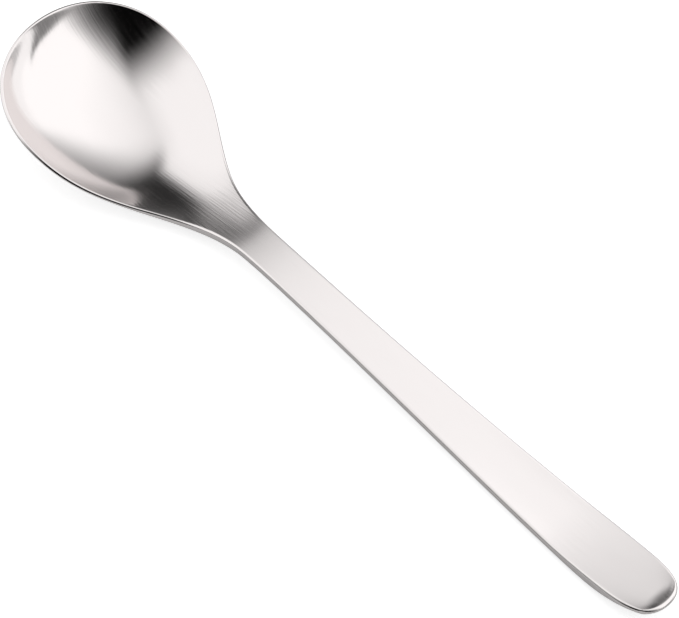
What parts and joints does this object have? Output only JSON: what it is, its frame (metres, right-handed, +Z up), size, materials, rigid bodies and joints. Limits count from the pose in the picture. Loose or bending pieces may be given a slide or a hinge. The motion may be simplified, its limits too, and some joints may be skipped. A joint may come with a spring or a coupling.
{
  "type": "dessert spoon",
  "caption": "Dessert spoon pressed from satin steel, with an oval bowl, a waisted neck and a flat handle that widens to a rounded, slightly dished end.",
  "frame": {"origin": "on the table, under the middle of the spoon's length and width, with the spoon lying on its back", "axes": "+X from the bowl to the end of the handle, +Y across the bowl, +Z up out of the bowl"},
  "size_m": [0.18, 0.0402, 0.0157],
  "materials": {
    "steel": "satin brushed along the length"
  },
  "bodies": {
    "root": {"spoon": "steel"}
  },
  "joints": []
}
